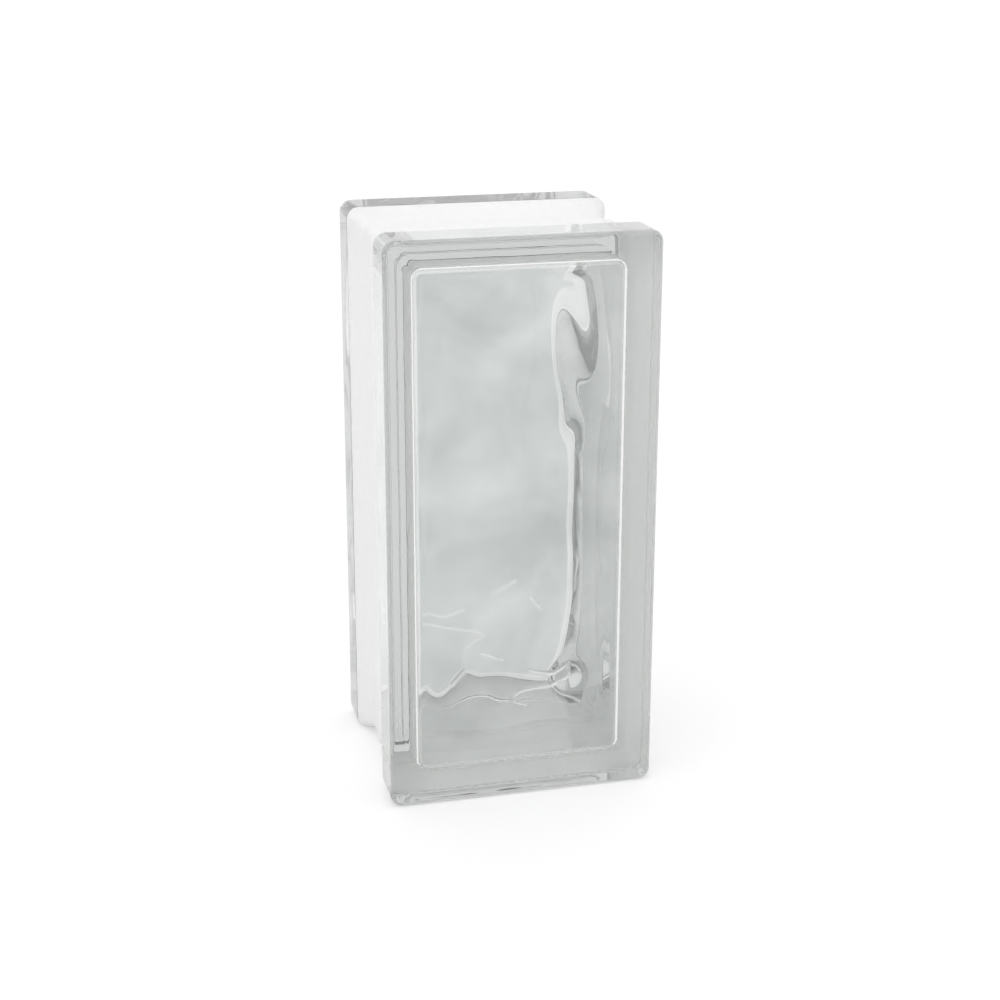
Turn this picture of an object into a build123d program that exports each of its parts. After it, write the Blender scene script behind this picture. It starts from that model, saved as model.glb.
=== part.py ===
from build123d import *

import math
import os

# Hollow glass building block in the half format, standing on its short end.
# Millimetres. +Z is up, X is the width and Y the depth, with the front face towards -Y.
# The origin is the middle of the base.

# Overall size
WIDTH = 90.0
DEPTH = 80.0
HEIGHT = 190.0

# Outside of one pressed half: face edge, flange and mortar groove
CORNER_RADIUS = 4.0
FACE_EDGE_RADIUS = 1.8
FLANGE_DEPTH = 16.0
SHOULDER_RUN = 10.0
SHOULDER_RADIUS = 3.0
GROOVE_DEPTH = 4.0
GROOVE_CORNER_RADIUS = 3.0

# Inside of one pressed half: pane, walls and the rounded edge between them
PANE_THICKNESS = 9.5
RIM_WALL = 5.0
WALL_DRAFT_DEG = 1.5
CAVITY_CORNER_RADIUS = 4.5
CAVITY_EDGE_RADIUS = 2.0

# Bead of glass squeezed out both ways where the two halves are melted together
SEAM_BEAD_WIDTH = 3.0
SEAM_BEAD_HEIGHT = 0.7
SEAM_BEAD_CHAMFER = 0.5

# Wavy field pressed into the inner side of each pane, a hair proud of the flat strip round it
FIELD_STRIP = 0.8
FIELD_RISE = 0.3
FIELD_CORNER_RADIUS = 2.5
WAVE_HEIGHT = 1.6
WAVE_BORDER = 4.0
WAVE_SAMPLE = 2.5

# How far a tool runs past what it cuts, and how near an edge lies to the depth it is picked by
OVERRUN = 4.0
PICK_GAP = 0.01

# Each swell: height, centre across and up, half length across and up, as shares, then its lean in degrees
SWELL_SHARES = [
    (1.05, 0.80, 0.855, 0.13, 0.17, 12),
    (0.90, 0.86, 0.16, 0.20, 0.085, 0),
    (0.55, 0.12, 0.70, 0.22, 0.10, 20),
    (-0.50, 0.36, 0.82, 0.25, 0.09, -15),
    (0.50, 0.40, 0.60, 0.28, 0.08, 25),
    (-0.45, 0.20, 0.46, 0.25, 0.08, -20),
    (0.60, 0.34, 0.37, 0.25, 0.09, 15),
    (0.80, 0.34, 0.11, 0.20, 0.06, 0),
    (0.38, 0.075, 0.180, 0.06, 0.036, 0),
    (-0.40, 0.20, 0.215, 0.065, 0.036, 0),
    (0.22, 0.754, 0.68, 0.077, 0.042, 0),
    (0.60, 0.765, 0.155, 0.075, 0.030, 0),
]

MIDDLE_HEIGHT = HEIGHT / 2
GROOVE_WIDTH = WIDTH - 2 * GROOVE_DEPTH
GROOVE_HEIGHT = HEIGHT - 2 * GROOVE_DEPTH
CAVITY_WIDTH = GROOVE_WIDTH - 2 * RIM_WALL
CAVITY_HEIGHT = GROOVE_HEIGHT - 2 * RIM_WALL
FRONT_Y = -DEPTH / 2
FLANGE_END_Y = FRONT_Y + FLANGE_DEPTH
SHOULDER_END_Y = FLANGE_END_Y + SHOULDER_RUN
PANE_Y = FRONT_Y + PANE_THICKNESS
PANE_INSET = -PANE_Y * math.tan(math.radians(WALL_DRAFT_DEG)) + CAVITY_EDGE_RADIUS + FIELD_STRIP
FIELD_WIDTH = CAVITY_WIDTH - 2 * PANE_INSET
FIELD_HEIGHT = CAVITY_HEIGHT - 2 * PANE_INSET


def outline(y, width, height, radius):
    """Rounded rectangle seen from the front, at depth y. Extruding it runs towards the front."""
    plane = Plane(origin=(0, y, MIDDLE_HEIGHT), x_dir=(1, 0, 0), z_dir=(0, -1, 0))
    return plane * RectangleRounded(width, height, radius)


def edges_at(solid, y):
    """Edges whose middle lies at depth y."""
    return solid.edges().filter_by_position(Axis.Y, y - PICK_GAP, y + PICK_GAP)


def outer_half():
    """Front half of the outside: flange, shoulder and the floor of the mortar groove."""
    flange_outline = outline(FLANGE_END_Y, WIDTH, HEIGHT, CORNER_RADIUS)
    groove_outline = outline(SHOULDER_END_Y, GROOVE_WIDTH, GROOVE_HEIGHT, GROOVE_CORNER_RADIUS)
    seam_outline = outline(0, GROOVE_WIDTH, GROOVE_HEIGHT, GROOVE_CORNER_RADIUS)
    flange = extrude(flange_outline, FLANGE_DEPTH)
    shoulder = loft([flange_outline, groove_outline])
    groove_floor = extrude(seam_outline, -SHOULDER_END_Y)
    half = flange + shoulder + groove_floor
    half = fillet(edges_at(half, FLANGE_END_Y), SHOULDER_RADIUS)
    half = fillet(edges_at(half, SHOULDER_END_Y), SHOULDER_RADIUS)
    return fillet(edges_at(half, FRONT_Y), FACE_EDGE_RADIUS)


def ease(distance):
    """Rises smoothly from 0 at the edge of the wavy field to 1 where its border ends."""
    share = min(max(distance / WAVE_BORDER, 0), 1)
    return share * share * (3 - 2 * share)


def wave(x, z):
    """How far the wavy field stands off the flat strip, into the cavity, at a place on the pane."""
    total = 0
    for height, across, up, half_across, half_up, lean in SWELL_SHARES:
        dx = x - (across - 1 / 2) * FIELD_WIDTH
        dz = z - (up - 1 / 2) * FIELD_HEIGHT
        turn = math.radians(lean)
        along = (dx * math.cos(turn) + dz * math.sin(turn)) / (half_across * FIELD_WIDTH)
        over = (dz * math.cos(turn) - dx * math.sin(turn)) / (half_up * FIELD_HEIGHT)
        total += height * math.exp(-(along * along + over * over))
    fade = ease(FIELD_WIDTH / 2 - abs(x)) * ease(FIELD_HEIGHT / 2 - abs(z))
    return FIELD_RISE + WAVE_HEIGHT * total * fade


def spread(length):
    """Even steps over a length about its middle, with the overrun added at both ends."""
    reach = length + 2 * OVERRUN
    count = math.ceil(reach / WAVE_SAMPLE)
    return [reach * (step / count - 1 / 2) for step in range(count + 1)]


def cavity_half():
    """Front half of the cavity: drafted walls with a rounded edge, closed by the pane's wavy field."""
    seam_outline = outline(0, CAVITY_WIDTH, CAVITY_HEIGHT, CAVITY_CORNER_RADIUS)
    cavity = extrude(seam_outline, -PANE_Y, taper=WALL_DRAFT_DEG)
    cavity = fillet(edges_at(cavity, PANE_Y), CAVITY_EDGE_RADIUS)
    field_outline = outline(PANE_Y / 2, FIELD_WIDTH, FIELD_HEIGHT, FIELD_CORNER_RADIUS)
    field_core = extrude(field_outline, -PANE_Y / 2 + PANE_THICKNESS / 2)
    rows = [
        [(x, PANE_Y + wave(x, z), MIDDLE_HEIGHT + z) for x in spread(FIELD_WIDTH)]
        for z in spread(FIELD_HEIGHT)
    ]
    wavy_side = Face.make_surface_from_array_of_points(rows, tol=PICK_GAP)
    behind_pane = extrude(wavy_side, -PANE_Y, dir=(0, 1, 0))
    return cavity - field_core + (field_core & behind_pane)


def seam_bead():
    """Collar of glass round the rim, standing a little proud in the groove and in the cavity."""
    back_y = SEAM_BEAD_WIDTH / 2
    proud = 2 * SEAM_BEAD_HEIGHT
    outer_radius = GROOVE_CORNER_RADIUS + SEAM_BEAD_HEIGHT
    inner_radius = CAVITY_CORNER_RADIUS - SEAM_BEAD_HEIGHT
    outside = outline(back_y, GROOVE_WIDTH + proud, GROOVE_HEIGHT + proud, outer_radius)
    inside = outline(back_y, CAVITY_WIDTH - proud, CAVITY_HEIGHT - proud, inner_radius)
    collar = extrude(outside - inside, SEAM_BEAD_WIDTH)
    rim_edges = edges_at(collar, back_y) + edges_at(collar, -back_y)
    return chamfer(rim_edges, SEAM_BEAD_CHAMFER)


front_half = outer_half() - cavity_half()
rear_half = Rotation(0, 0, 180) * front_half
glass_block = front_half + rear_half + seam_bead()

os.makedirs("parts", exist_ok=True)
export_step(glass_block, "parts/glass_block.step")
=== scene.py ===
import math

import bmesh
import bpy
from mathutils import Matrix, Vector
from mathutils.geometry import interpolate_bezier


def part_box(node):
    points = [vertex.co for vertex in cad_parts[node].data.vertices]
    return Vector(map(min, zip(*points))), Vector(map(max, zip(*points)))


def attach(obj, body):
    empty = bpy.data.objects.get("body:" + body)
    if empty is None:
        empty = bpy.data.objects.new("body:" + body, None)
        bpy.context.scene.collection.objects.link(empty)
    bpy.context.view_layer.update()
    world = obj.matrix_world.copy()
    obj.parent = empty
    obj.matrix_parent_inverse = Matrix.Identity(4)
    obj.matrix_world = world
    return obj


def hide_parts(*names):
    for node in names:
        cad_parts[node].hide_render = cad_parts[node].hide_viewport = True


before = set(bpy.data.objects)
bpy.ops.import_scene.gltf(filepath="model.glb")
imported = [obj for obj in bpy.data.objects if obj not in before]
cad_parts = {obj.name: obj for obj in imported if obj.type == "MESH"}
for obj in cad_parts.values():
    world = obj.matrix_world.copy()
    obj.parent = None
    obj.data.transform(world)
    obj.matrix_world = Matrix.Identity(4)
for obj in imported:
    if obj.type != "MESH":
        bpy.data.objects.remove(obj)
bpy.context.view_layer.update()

# Sizes of the block, in metres, the outer ones from the frame
MM = 0.001
block_low, block_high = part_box("glass_block")
WIDTH = block_high.x - block_low.x
DEPTH = block_high.y - block_low.y
HEIGHT = block_high.z - block_low.z
MIDDLE_HEIGHT = (block_high.z + block_low.z) / 2
SEAM_DEPTH = DEPTH / 2

# Outside of one pressed half, measured inwards from the outline and back from the front face
CORNER_RADIUS = 4 * MM
FACE_EDGE_RADIUS = 1.8 * MM
FLANGE_DEPTH = 16 * MM
SHOULDER_RUN = 10 * MM
SHOULDER_RADIUS = 3 * MM
GROOVE_DEPTH = 4 * MM
GROOVE_CORNER_RADIUS = 3 * MM

# Inside of one pressed half
PANE_THICKNESS = 9.5 * MM
RIM_WALL = 5 * MM
WALL_DRAFT = math.radians(1.5)
CAVITY_CORNER_RADIUS = 4.5 * MM
CAVITY_EDGE_RADIUS = 2 * MM

# Bead of glass squeezed out both ways where the halves are melted together
SEAM_BEAD_WIDTH = 3 * MM
SEAM_BEAD_HEIGHT = 0.7 * MM

# White coating in the mortar groove, half of it sunk in the glass's skin
COATING_THICKNESS = 0.1 * MM

# Wavy field on the inner side of each pane
FIELD_STRIP = 0.8 * MM
FIELD_RISE = 0.3 * MM
WAVE_HEIGHT = 1.6 * MM
WAVE_BORDER = 4 * MM

# Each swell: height, centre across and up, half length across and up, as shares,
# then its lean in degrees
SWELL_SHARES = [
    (1.05, 0.80, 0.855, 0.13, 0.17, 12),
    (0.90, 0.86, 0.16, 0.20, 0.085, 0),
    (0.55, 0.12, 0.70, 0.22, 0.10, 20),
    (-0.50, 0.36, 0.82, 0.25, 0.09, -15),
    (0.50, 0.40, 0.60, 0.28, 0.08, 25),
    (-0.45, 0.20, 0.46, 0.25, 0.08, -20),
    (0.60, 0.34, 0.37, 0.25, 0.09, 15),
    (0.80, 0.34, 0.11, 0.20, 0.06, 0),
    (0.38, 0.075, 0.180, 0.06, 0.036, 0),
    (-0.40, 0.20, 0.215, 0.065, 0.036, 0),
    (0.22, 0.754, 0.68, 0.077, 0.042, 0),
    (0.60, 0.765, 0.155, 0.075, 0.030, 0),
]

# Fine creases in the lower part of the field, each a run of places across and up,
# as shares of the field
CREASE_SHARES = [
    [(0.75, 0.180), (0.69, 0.168), (0.63, 0.170), (0.56, 0.179)],
    [(0.765, 0.185), (0.765, 0.160), (0.74, 0.150), (0.66, 0.141)],
    [(0.66, 0.141), (0.52, 0.136), (0.47, 0.121), (0.485, 0.112), (0.545, 0.104)],
    [(0.41, 0.208), (0.30, 0.226)],
    [(0.21, 0.193), (0.15, 0.165)],
]
CREASE_HEIGHT = 0.2 * MM
CREASE_HALF_WIDTH = 0.45 * MM
CREASE_REACH = 2 * MM
CREASE_STEPS = 24
CREASE_CUTS = 2
CREASE_BEND_SHARE = 1 / 6

# How finely the shells are divided
FACE_SPACING = 1.6 * MM
PANE_SPACING = 0.9 * MM
CORNER_RUN = 8 * MM
EDGE_STEPS = 8
SHOULDER_STEPS = 4
BEAD_STEPS = 6
WALL_STEPS = 2
SUPPORT_GAP = 0.4 * MM
MERGE_GAP = 0.005 * MM

# Place of the coating among the block's materials, after the glass
COATING = 1

# Colour sockets of a Mix node
MIX_FIRST = 6
MIX_SECOND = 7
MIX_RESULT = 2

# Vertex attribute for the painted shade: 1 on the wavy fields and falling to 0 along their
# creases, where it leaves painted highlight lines
PAINTED_SHADE_MASK = "painted_shade_on_field"

# Camera at the photograph's angle: its direction from the block and its distance,
# then focal length and picture axis in pixels of a square frame
CAMERA_AZIMUTH = math.radians(-14.19)
CAMERA_ELEVATION = math.radians(17.23)
CAMERA_ROLL = math.radians(0.12)
CAMERA_DISTANCE = 646.4 * MM
CAMERA_SIDE = 1.85 * MM
CAMERA_RISE = 11.9 * MM
FOCAL_PX = 1891
AXIS_X_PX = 500
AXIS_Y_PX = 455
FRAME_PX = 1000
SENSOR_MM = 36
CLIP_START = 10 * MM

# Floor, a hair under the block so that air lies between them
FLOOR_RADIUS = 6
FLOOR_SEGMENTS = 64
FLOOR_GAP = 0.1 * MM
DARK_FLOOR = (0.65, 0.65, 0.65, 1)
PALE_FLOOR = (0.67, 0.67, 0.67, 1)
FLOOR_PATCHES_PER_METRE = 5
FLOOR_DETAIL = 1
FLOOR_GLOW = 0.32

# Mottling: how far its patches swirl, and the range of the noise that they run over
MOTTLE_SWIRL = 0.8
MOTTLE_LOW = 0.3
MOTTLE_HIGH = 0.7

# Glass: tint of a clear surface, and painted shade in cloudy patches on the wavy fields, darkening
# the panes as if darker surroundings showed through them
CLEAR_TINT = (0.985, 0.988, 0.986, 1)
DARK_CLOUD_PAINTED_SHADE = (0.52, 0.55, 0.54, 1)
LIGHT_CLOUD_PAINTED_SHADE = (0.80, 0.825, 0.815, 1)
CLOUDS_PER_METRE = 22
CLOUD_DETAIL = 3
CLOUD_PATTERN = 4

# Glass: dimples, refraction and the tone that it takes on in depth
DIMPLES_PER_METRE = 60
DIMPLE_DEPTH = 0.03 * MM
GLASS_IOR = 1.52
DEPTH_TINT = (0.44, 0.455, 0.45, 1)
DEPTH_DENSITY = 11

# Coating: its whites with the grain between them, and the share of light that comes through
DULL_WHITE = (0.975, 0.975, 0.973, 1)
BRIGHT_WHITE = (0.995, 0.995, 0.993, 1)
GRAINS_PER_METRE = 500
GRAIN_DETAIL = 2
GRAIN_DEPTH = 0.05 * MM
DULL_ROUGHNESS = 0.75
BRIGHT_ROUGHNESS = 0.5
THROUGH_SHARE = 0.4

# Surroundings: strength by height, and the share of it on either side
HORIZON_LIGHT = 1
OVERHEAD_LIGHT = 1.08
OVERHEAD_START = 0.55
OVERHEAD_FULL = 0.95
LEFT_SHARE = 1.15
RIGHT_SHARE = 0.95
WHITE = (1, 1, 1, 1)

# Soft key lamp, in metres and watts
KEY_PLACE = (-0.8, -0.9, 1.3)
KEY_TARGET = (0, 0, 0.1)
KEY_SIZE = 0.9
KEY_POWER = 2

# Bounces enough for the many turns of light inside the glass
GLOSSY_BOUNCES = 16
TRANSMISSION_BOUNCES = 24
DIFFUSE_BOUNCES = 16
ALL_BOUNCES = 48

UP = Vector((0, 0, 1))
QUARTER_TURN = math.pi / 2


# Shape of the block

def arc(centre_inset, centre_depth, radius, start, end, steps):
    """Points of a round edge as inset and depth.

    Angle 0 points at the front face, a quarter turn at the outline.
    """
    points = []
    for step in range(steps + 1):
        turn = start + (end - start) * step / steps
        inset = centre_inset - radius * math.sin(turn)
        depth = centre_depth - radius * math.cos(turn)
        points.append((inset, depth))
    return points


def bead(inset, rise):
    """Round hump up to the seam, as inset and depth. A positive rise stands into the cavity."""
    points = []
    for step in range(BEAD_STEPS + 1):
        share = step / BEAD_STEPS
        lift = rise * (1 - math.cos(math.pi * share)) / 2
        points.append((inset + lift, SEAM_DEPTH - SEAM_BEAD_WIDTH / 2 * (1 - share)))
    return points


def outside_profile():
    """Rows of inset, depth and corner radius from the face's flat edge back to the seam."""
    flat_inset = FACE_EDGE_RADIUS + SUPPORT_GAP
    rows = [(flat_inset, 0, CORNER_RADIUS - flat_inset)]
    face_edge = arc(
        FACE_EDGE_RADIUS,
        FACE_EDGE_RADIUS,
        FACE_EDGE_RADIUS,
        0,
        QUARTER_TURN,
        EDGE_STEPS,
    )
    for inset, depth in face_edge:
        rows.append((inset, depth, CORNER_RADIUS - inset))
    slope = math.atan2(GROOVE_DEPTH, SHOULDER_RUN)
    tangent = SHOULDER_RADIUS * math.tan(slope / 2)
    groove_start = FLANGE_DEPTH + SHOULDER_RUN
    crest = arc(
        SHOULDER_RADIUS,
        FLANGE_DEPTH - tangent,
        SHOULDER_RADIUS,
        QUARTER_TURN,
        QUARTER_TURN + slope,
        SHOULDER_STEPS,
    )
    foot = arc(
        GROOVE_DEPTH - SHOULDER_RADIUS,
        groove_start + tangent,
        SHOULDER_RADIUS,
        slope - QUARTER_TURN,
        -QUARTER_TURN,
        SHOULDER_STEPS,
    )
    hump = bead(GROOVE_DEPTH, -SEAM_BEAD_HEIGHT)
    rows.append((0, FACE_EDGE_RADIUS + SUPPORT_GAP, CORNER_RADIUS))
    rows.append((0, crest[0][1] - SUPPORT_GAP, CORNER_RADIUS))
    narrowing = (CORNER_RADIUS - GROOVE_CORNER_RADIUS) / GROOVE_DEPTH
    for inset, depth in crest + foot + hump:
        rows.append((inset, depth, CORNER_RADIUS - inset * narrowing))
    return rows


def coating_profile():
    """Rows of inset, depth and corner radius round the coating's section, from seam to seam."""
    coated = [row for row in outside_profile() if row[1] > FLANGE_DEPTH]
    half = COATING_THICKNESS / 2
    sunk = [(inset + half, depth, radius - half) for inset, depth, radius in coated]
    proud = [(inset - half, depth, radius + half) for inset, depth, radius in coated]
    return sunk[::-1] + proud


def wall_inset(depth):
    """Inset of the cavity's drafted wall at a depth."""
    return GROOVE_DEPTH + RIM_WALL + (SEAM_DEPTH - depth) * math.tan(WALL_DRAFT)


def cavity_profile():
    """Rows of inset, depth and corner radius from the pane's flat edge back to the seam."""
    rows = []
    edge_depth = PANE_THICKNESS + CAVITY_EDGE_RADIUS
    edge_inset = wall_inset(edge_depth) + CAVITY_EDGE_RADIUS
    round_edge = arc(edge_inset, edge_depth, CAVITY_EDGE_RADIUS, 0, QUARTER_TURN, EDGE_STEPS)
    seam_start = SEAM_DEPTH - SEAM_BEAD_WIDTH / 2
    wall = []
    for step in range(1, WALL_STEPS):
        depth = edge_depth + (seam_start - edge_depth) * step / WALL_STEPS
        wall.append((wall_inset(depth), depth))
    hump = bead(wall_inset(seam_start), SEAM_BEAD_HEIGHT)
    for inset, depth in round_edge + wall + hump:
        radius = CAVITY_CORNER_RADIUS + GROOVE_DEPTH + RIM_WALL - inset
        rows.append((inset, depth, radius))
    return rows


def ring_place(home, half_width, half_height, radius, home_half_width, home_half_height):
    """Where a point of a square-cornered outline lies on a rounded one."""
    side = math.copysign(1, home.x)
    level = math.copysign(1, home.y)
    across = home_half_width - abs(home.x)
    down = home_half_height - abs(home.y)
    if across >= CORNER_RUN:
        straight = (half_width - radius) / (home_half_width - CORNER_RUN)
        return home.x * straight, level * half_height
    if down >= CORNER_RUN:
        straight = (half_height - radius) / (home_half_height - CORNER_RUN)
        return side * half_width, home.y * straight
    turn = QUARTER_TURN / 2 * (1 + (across - down) / CORNER_RUN)
    x = side * (half_width - radius + radius * math.cos(turn))
    z = level * (half_height - radius + radius * math.sin(turn))
    return x, z


def half_shell(profile, spacing, front):
    """One half of a shell, with its front's edge drawn along the profile to the seam.

    The front is flat, and divided, plain or open.
    """
    bm = bmesh.new()
    home_layer = bm.verts.layers.float_vector.new("home")
    inset, front_depth, _ = profile[0]
    home_half_width = WIDTH / 2 - inset
    home_half_height = HEIGHT / 2 - inset
    stretch = Matrix.Diagonal((home_half_width, home_half_height, 1, 1))
    upright = Matrix.Rotation(QUARTER_TURN, 4, "X")
    bmesh.ops.create_grid(
        bm,
        x_segments=round(2 * home_half_width / spacing),
        y_segments=round(2 * home_half_height / spacing),
        size=1,
        matrix=Matrix.Translation((0, front_depth - SEAM_DEPTH, 0)) @ upright @ stretch,
    )
    if front == "plain":
        bmesh.ops.dissolve_faces(bm, faces=bm.faces[:])
    if front == "open":
        bmesh.ops.delete(bm, geom=bm.faces[:], context="FACES_KEEP_BOUNDARY")
    edges = [edge for edge in bm.edges if edge.is_boundary or edge.is_wire]
    ring = {vert for edge in edges for vert in edge.verts}
    for vert in ring:
        vert[home_layer] = Vector((vert.co.x, vert.co.z, 0))
    for step, (inset, depth, radius) in enumerate(profile):
        if step > 0:
            grown = bmesh.ops.extrude_edge_only(bm, edges=edges)["geom"]
            ring = [item for item in grown if isinstance(item, bmesh.types.BMVert)]
            ring_verts = set(ring)
            grown_edges = [item for item in grown if isinstance(item, bmesh.types.BMEdge)]
            edges = [edge for edge in grown_edges if ring_verts.issuperset(edge.verts)]
        for vert in ring:
            x, z = ring_place(
                vert[home_layer],
                WIDTH / 2 - inset,
                HEIGHT / 2 - inset,
                radius,
                home_half_width,
                home_half_height,
            )
            vert.co = Vector((x, depth - SEAM_DEPTH, z))
    return bm


def close_shell(bm):
    """Adds the other half, turned half round, joins both at the seam and faces them outwards."""
    half = bm.verts[:] + bm.edges[:] + bm.faces[:]
    twin = bmesh.ops.duplicate(bm, geom=half)["geom"]
    twin_verts = [item for item in twin if isinstance(item, bmesh.types.BMVert)]
    half_round = Matrix.Rotation(math.pi, 3, "Z")
    bmesh.ops.rotate(bm, verts=twin_verts, cent=(0, 0, 0), matrix=half_round)
    bmesh.ops.remove_doubles(bm, verts=bm.verts[:], dist=MERGE_GAP)
    bmesh.ops.recalc_face_normals(bm, faces=bm.faces[:])


def ease(share):
    """Rises smoothly from 0 to 1."""
    share = min(max(share, 0), 1)
    return share * share * (3 - 2 * share)


def field_place(across, up, field_width, field_height):
    """A place on the field, from its middle, by its shares across and up."""
    return (across - 1 / 2) * field_width, (up - 1 / 2) * field_height


def wave(x, z, field_width, field_height):
    """How far the wavy field stands off the pane's flat edge, into the cavity."""
    total = 0
    for height, across, up, half_across, half_up, lean in SWELL_SHARES:
        centre_x, centre_z = field_place(across, up, field_width, field_height)
        dx = x - centre_x
        dz = z - centre_z
        turn = math.radians(lean)
        along = (dx * math.cos(turn) + dz * math.sin(turn)) / (half_across * field_width)
        over = (dz * math.cos(turn) - dx * math.sin(turn)) / (half_up * field_height)
        total += height * math.exp(-(along * along + over * over))
    edge_x = field_width / 2 - abs(x)
    edge_z = field_height / 2 - abs(z)
    fade = ease(edge_x / WAVE_BORDER) * ease(edge_z / WAVE_BORDER)
    rise = ease(edge_x / FIELD_STRIP) * ease(edge_z / FIELD_STRIP)
    return FIELD_RISE * rise + WAVE_HEIGHT * total * fade


def crease_points(field_width, field_height):
    """Points of the creases, each a smooth line through its places on the field."""
    points = []
    for run in CREASE_SHARES:
        places = [
            Vector(field_place(across, up, field_width, field_height)) for across, up in run
        ]
        for step, (start, end) in enumerate(zip(places, places[1:])):
            before = places[max(step - 1, 0)]
            after = places[min(step + 2, len(places) - 1)]
            leave = start + (end - before) * CREASE_BEND_SHARE
            arrive = end - (after - start) * CREASE_BEND_SHARE
            points += interpolate_bezier(start, leave, arrive, end, CREASE_STEPS)
    return points


def crease_distance(vert, points):
    """How far a vertex of the pane lies from the nearest crease."""
    place = Vector((vert.co.x, vert.co.z))
    return min((place - point).length for point in points)


def on_pane(bm):
    """Vertices of the pane before its waves are raised."""
    pane_y = PANE_THICKNESS - SEAM_DEPTH
    return [vert for vert in bm.verts if abs(vert.co.y - pane_y) < MERGE_GAP]


def cavity_shell():
    """Inside of the block, with waves and creases on both panes, facing into the cavity."""
    profile = cavity_profile()
    bm = half_shell(profile, PANE_SPACING, "divided")
    field_inset = profile[0][0] + FIELD_STRIP
    field_width = WIDTH - 2 * field_inset
    field_height = HEIGHT - 2 * field_inset
    painted_shade_layer = bm.verts.layers.float.new(PAINTED_SHADE_MASK)
    points = crease_points(field_width, field_height)
    near = {vert for vert in on_pane(bm) if crease_distance(vert, points) < CREASE_REACH}
    edges = [edge for edge in bm.edges if near.issuperset(edge.verts) and not edge.is_boundary]
    bmesh.ops.subdivide_edges(bm, edges=edges, cuts=CREASE_CUTS, use_grid_fill=True)
    for vert in on_pane(bm):
        crest = math.exp(-(crease_distance(vert, points) / CREASE_HALF_WIDTH) ** 2)
        swell = wave(vert.co.x, vert.co.z, field_width, field_height)
        vert.co.y += swell + CREASE_HEIGHT * crest
        # Painted shade mask: 1 on the field, 0 along the creases, which leaves them as painted
        # highlight lines
        vert[painted_shade_layer] = 1 - crest
    close_shell(bm)
    bmesh.ops.reverse_faces(bm, faces=bm.faces[:])
    return bm


def coating_shell():
    """The coating as a thin closed band round the groove."""
    bm = half_shell(coating_profile(), FACE_SPACING, "open")
    close_shell(bm)
    for face in bm.faces:
        face.material_index = COATING
    return bm


def add_shell(bm, shell):
    """Takes a shell's mesh into another one."""
    mesh = bpy.data.meshes.new("shell")
    shell.to_mesh(mesh)
    shell.free()
    bm.from_mesh(mesh)
    bpy.data.meshes.remove(mesh)


def pressed_block():
    """The whole block in one mesh: outside, cavity and the coating in the groove."""
    bm = half_shell(outside_profile(), FACE_SPACING, "plain")
    # The outside gets the painted shade mask at 0, so it stays clear
    bm.verts.layers.float.new(PAINTED_SHADE_MASK)
    close_shell(bm)
    add_shell(bm, cavity_shell())
    add_shell(bm, coating_shell())
    bmesh.ops.translate(bm, verts=bm.verts[:], vec=(0, 0, MIDDLE_HEIGHT))
    for face in bm.faces:
        face.smooth = True
    mesh = bpy.data.meshes.new("pressed_glass")
    bm.to_mesh(mesh)
    bm.free()
    block = bpy.data.objects.new("pressed_glass", mesh)
    bpy.context.scene.collection.objects.link(block)
    return block


# Finishes

def new_material(name):
    """A material with its node tree and the surface shader in it."""
    material = bpy.data.materials.new(name)
    material.use_nodes = True
    return material, material.node_tree.nodes, material.node_tree.links


def mottle_group():
    """Shared mottling: a mask from 0 to 1 in soft patches over the object."""
    group = bpy.data.node_groups.new("soft_mottle", "ShaderNodeTree")
    for name in ("Patches per metre", "Detail", "Pattern"):
        group.interface.new_socket(name, in_out="INPUT", socket_type="NodeSocketFloat")
    group.interface.new_socket("Mask", in_out="OUTPUT", socket_type="NodeSocketFloat")
    nodes = group.nodes
    links = group.links
    given = nodes.new("NodeGroupInput")
    result = nodes.new("NodeGroupOutput")
    place = nodes.new("ShaderNodeTexCoord")
    noise = nodes.new("ShaderNodeTexNoise")
    noise.noise_dimensions = "4D"
    noise.inputs["Distortion"].default_value = MOTTLE_SWIRL
    patches = nodes.new("ShaderNodeMapRange")
    patches.interpolation_type = "SMOOTHSTEP"
    patches.inputs["From Min"].default_value = MOTTLE_LOW
    patches.inputs["From Max"].default_value = MOTTLE_HIGH
    links.new(place.outputs["Object"], noise.inputs["Vector"])
    links.new(given.outputs["Patches per metre"], noise.inputs["Scale"])
    links.new(given.outputs["Detail"], noise.inputs["Detail"])
    links.new(given.outputs["Pattern"], noise.inputs["W"])
    links.new(noise.outputs["Fac"], patches.inputs["Value"])
    links.new(patches.outputs["Result"], result.inputs["Mask"])
    return group


def mottling(nodes, mottle, patches_per_metre, detail=0, pattern=0):
    """The mask of the shared mottling at one patch size and in one of its patterns."""
    group = nodes.new("ShaderNodeGroup")
    group.node_tree = mottle
    group.inputs["Patches per metre"].default_value = patches_per_metre
    group.inputs["Detail"].default_value = detail
    group.inputs["Pattern"].default_value = pattern
    return group.outputs["Mask"]


def blend(nodes, links, share, first, second):
    """Colour between two by a share. The second may come from another node."""
    mix = nodes.new("ShaderNodeMix")
    mix.data_type = "RGBA"
    mix.inputs[MIX_FIRST].default_value = first
    links.new(share, mix.inputs["Factor"])
    if isinstance(second, bpy.types.NodeSocket):
        links.new(second, mix.inputs[MIX_SECOND])
    else:
        mix.inputs[MIX_SECOND].default_value = second
    return mix.outputs[MIX_RESULT]


def unevenness(nodes, links, mask, depth):
    """Normal of a surface that rises by the depth where the mask is 1."""
    bump = nodes.new("ShaderNodeBump")
    bump.inputs["Distance"].default_value = depth
    links.new(mask, bump.inputs["Height"])
    return bump.outputs["Normal"]


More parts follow.
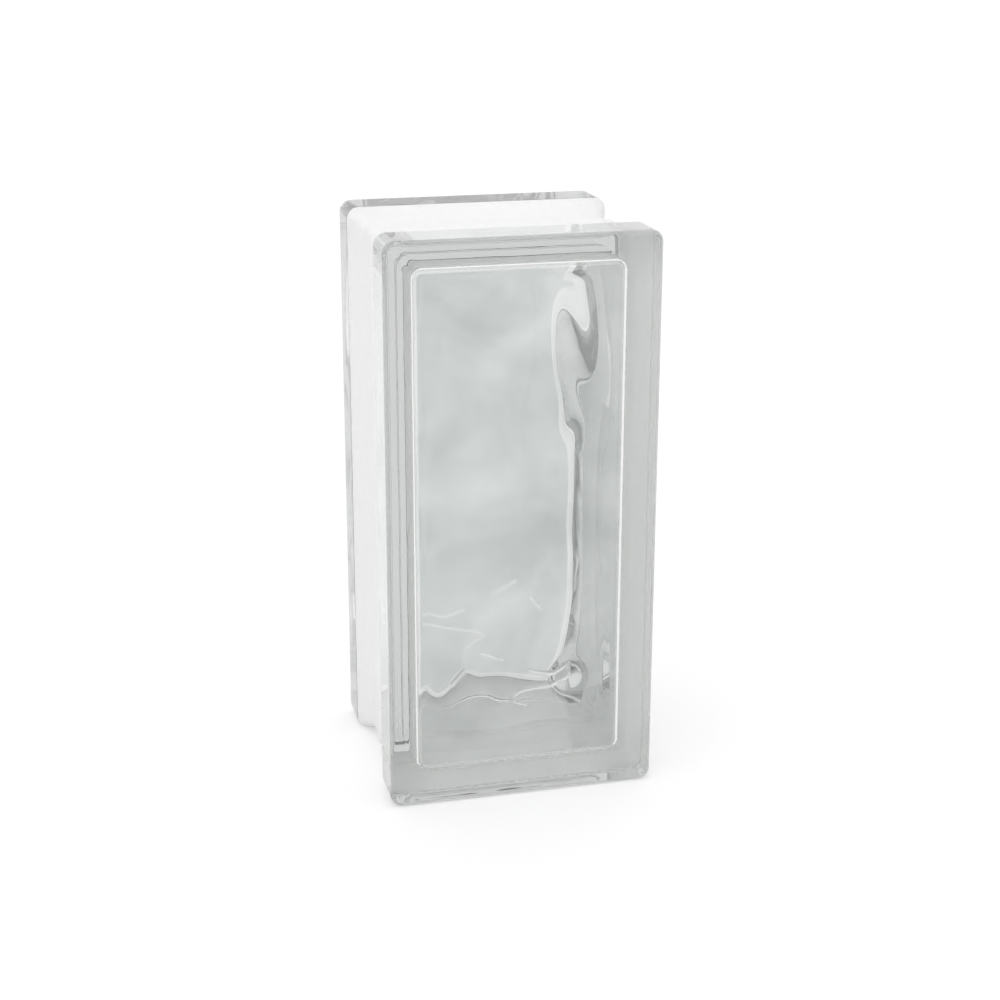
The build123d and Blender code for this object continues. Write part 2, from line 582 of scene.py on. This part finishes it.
def clear_glass(mottle):
    """Clear pressed glass with a faint grey-green tint, and painted shade in cloudy patches on the
    wavy fields with painted highlight lines along their creases.
    """
    material, nodes, links = new_material("clear_glass")
    shader = nodes["Principled BSDF"]
    field = nodes.new("ShaderNodeAttribute")
    field.attribute_name = PAINTED_SHADE_MASK
    clouds = mottling(nodes, mottle, CLOUDS_PER_METRE, CLOUD_DETAIL, CLOUD_PATTERN)
    # Painted shade: cloudy greys that darken the wavy fields
    cloudy_painted_shade = blend(nodes, links, clouds, DARK_CLOUD_PAINTED_SHADE, LIGHT_CLOUD_PAINTED_SHADE)
    # Clear off the fields and along the creases, which leaves painted highlight lines there
    tint = blend(nodes, links, field.outputs["Fac"], CLEAR_TINT, cloudy_painted_shade)
    links.new(tint, shader.inputs["Base Color"])
    dimples = mottling(nodes, mottle, DIMPLES_PER_METRE)
    links.new(unevenness(nodes, links, dimples, DIMPLE_DEPTH), shader.inputs["Normal"])
    shader.inputs["Transmission Weight"].default_value = 1
    shader.inputs["IOR"].default_value = GLASS_IOR
    shader.inputs["Roughness"].default_value = 0
    depth = nodes.new("ShaderNodeVolumeAbsorption")
    depth.inputs["Color"].default_value = DEPTH_TINT
    depth.inputs["Density"].default_value = DEPTH_DENSITY
    links.new(depth.outputs["Volume"], nodes["Material Output"].inputs["Volume"])
    return material


def groove_coating(mottle):
    """White coating sprayed into the mortar groove, thin enough to let some light through."""
    material, nodes, links = new_material("groove_coating")
    shader = nodes["Principled BSDF"]
    grain = mottling(nodes, mottle, GRAINS_PER_METRE, GRAIN_DETAIL)
    white = blend(nodes, links, grain, DULL_WHITE, BRIGHT_WHITE)
    normal = unevenness(nodes, links, grain, GRAIN_DEPTH)
    links.new(white, shader.inputs["Base Color"])
    links.new(normal, shader.inputs["Normal"])
    roughness = nodes.new("ShaderNodeMapRange")
    roughness.inputs["To Min"].default_value = DULL_ROUGHNESS
    roughness.inputs["To Max"].default_value = BRIGHT_ROUGHNESS
    links.new(grain, roughness.inputs["Value"])
    links.new(roughness.outputs["Result"], shader.inputs["Roughness"])
    through = nodes.new("ShaderNodeBsdfTranslucent")
    links.new(white, through.inputs["Color"])
    links.new(normal, through.inputs["Normal"])
    mix = nodes.new("ShaderNodeMixShader")
    mix.inputs["Fac"].default_value = THROUGH_SHARE
    links.new(shader.outputs["BSDF"], mix.inputs[1])
    links.new(through.outputs["BSDF"], mix.inputs[2])
    links.new(mix.outputs["Shader"], nodes["Material Output"].inputs["Surface"])
    return material


# Studio

def shown_rays(nodes, links, strength):
    """The strength for what is seen, reflected or looked at through the glass, and 0 for light."""
    path = nodes.new("ShaderNodeLightPath")
    seen = nodes.new("ShaderNodeMath")
    seen.operation = "ADD"
    links.new(path.outputs["Is Camera Ray"], seen.inputs[0])
    links.new(path.outputs["Is Glossy Ray"], seen.inputs[1])
    through = nodes.new("ShaderNodeMath")
    through.operation = "ADD"
    through.use_clamp = True
    links.new(seen.outputs[0], through.inputs[0])
    links.new(path.outputs["Is Transmission Ray"], through.inputs[1])
    level = nodes.new("ShaderNodeMath")
    level.operation = "MULTIPLY"
    level.inputs[1].default_value = strength
    links.new(through.outputs[0], level.inputs[0])
    return level.outputs[0]


def floor_material(mottle):
    """Pale floor that shows white and keeps the block's shadow."""
    material, nodes, links = new_material("pale_floor")
    shader = nodes["Principled BSDF"]
    drift = mottling(nodes, mottle, FLOOR_PATCHES_PER_METRE, FLOOR_DETAIL)
    tone = blend(nodes, links, drift, DARK_FLOOR, PALE_FLOOR)
    links.new(tone, shader.inputs["Base Color"])
    shader.inputs["Roughness"].default_value = 1
    shader.inputs["Specular IOR Level"].default_value = 0
    shader.inputs["Emission Color"].default_value = WHITE
    links.new(shown_rays(nodes, links, FLOOR_GLOW), shader.inputs["Emission Strength"])
    return material


def studio_world():
    """White surroundings, lighter overhead and on the left."""
    world = bpy.data.worlds.new("studio")
    bpy.context.scene.world = world
    world.use_nodes = True
    nodes = world.node_tree.nodes
    links = world.node_tree.links
    place = nodes.new("ShaderNodeTexCoord")
    level = nodes.new("ShaderNodeSeparateXYZ")
    links.new(place.outputs["Generated"], level.inputs["Vector"])
    strength = nodes.new("ShaderNodeMapRange")
    strength.interpolation_type = "SMOOTHSTEP"
    strength.inputs["From Min"].default_value = OVERHEAD_START
    strength.inputs["From Max"].default_value = OVERHEAD_FULL
    strength.inputs["To Min"].default_value = HORIZON_LIGHT
    strength.inputs["To Max"].default_value = OVERHEAD_LIGHT
    links.new(level.outputs["Z"], strength.inputs["Value"])
    side = nodes.new("ShaderNodeMapRange")
    side.inputs["From Min"].default_value = -1
    side.inputs["To Min"].default_value = LEFT_SHARE
    side.inputs["To Max"].default_value = RIGHT_SHARE
    links.new(level.outputs["X"], side.inputs["Value"])
    product = nodes.new("ShaderNodeMath")
    product.operation = "MULTIPLY"
    links.new(strength.outputs["Result"], product.inputs[0])
    links.new(side.outputs["Result"], product.inputs[1])
    background = nodes["Background"]
    background.inputs["Color"].default_value = WHITE
    links.new(product.outputs[0], background.inputs["Strength"])


def soft_lamp(name, place, target, size, power):
    """A square soft lamp aimed at a point."""
    lamp = bpy.data.lights.new(name, "AREA")
    lamp.energy = power
    lamp.size = size
    holder = bpy.data.objects.new(name, lamp)
    holder.location = place
    aim = Vector(target) - Vector(place)
    holder.rotation_euler = aim.to_track_quat("-Z", "Y").to_euler()
    bpy.context.scene.collection.objects.link(holder)


def photo_camera():
    """Camera at the photograph's angle, worked out from the block's middle."""
    back = Vector((
        math.sin(CAMERA_AZIMUTH) * math.cos(CAMERA_ELEVATION),
        -math.cos(CAMERA_AZIMUTH) * math.cos(CAMERA_ELEVATION),
        math.sin(CAMERA_ELEVATION),
    ))
    level = UP.cross(back).normalized()
    upward = back.cross(level)
    right = math.cos(CAMERA_ROLL) * level + math.sin(CAMERA_ROLL) * upward
    top = math.cos(CAMERA_ROLL) * upward - math.sin(CAMERA_ROLL) * level
    middle = UP * MIDDLE_HEIGHT
    place = middle + back * CAMERA_DISTANCE + right * CAMERA_SIDE + top * CAMERA_RISE
    lens = bpy.data.cameras.new("camera")
    lens.sensor_width = SENSOR_MM
    lens.lens = FOCAL_PX / FRAME_PX * SENSOR_MM
    lens.shift_x = (FRAME_PX / 2 - AXIS_X_PX) / FRAME_PX
    lens.shift_y = (AXIS_Y_PX - FRAME_PX / 2) / FRAME_PX
    lens.clip_start = CLIP_START
    camera = bpy.data.objects.new("camera", lens)
    turn = Matrix((right, top, back)).transposed()
    camera.matrix_world = Matrix.Translation(place) @ turn.to_4x4()
    bpy.context.scene.collection.objects.link(camera)
    bpy.context.scene.camera = camera


def pale_floor(mottle):
    """Level floor under the block."""
    bm = bmesh.new()
    bmesh.ops.create_circle(
        bm,
        cap_ends=True,
        segments=FLOOR_SEGMENTS,
        radius=FLOOR_RADIUS,
        matrix=Matrix.Translation((0, 0, -FLOOR_GAP)),
    )
    mesh = bpy.data.meshes.new("floor")
    bm.to_mesh(mesh)
    bm.free()
    floor = bpy.data.objects.new("floor", mesh)
    floor.data.materials.append(floor_material(mottle))
    bpy.context.scene.collection.objects.link(floor)


mottle = mottle_group()
block = pressed_block()
block.data.materials.append(clear_glass(mottle))
block.data.materials.append(groove_coating(mottle))
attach(block, "root")
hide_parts("glass_block")

pale_floor(mottle)
studio_world()
soft_lamp("key", KEY_PLACE, KEY_TARGET, KEY_SIZE, KEY_POWER)
photo_camera()

scene = bpy.context.scene
scene.view_settings.view_transform = "Standard"
scene.cycles.blur_glossy = 0
scene.cycles.glossy_bounces = GLOSSY_BOUNCES
scene.cycles.transmission_bounces = TRANSMISSION_BOUNCES
scene.cycles.diffuse_bounces = DIFFUSE_BOUNCES
scene.cycles.max_bounces = ALL_BOUNCES
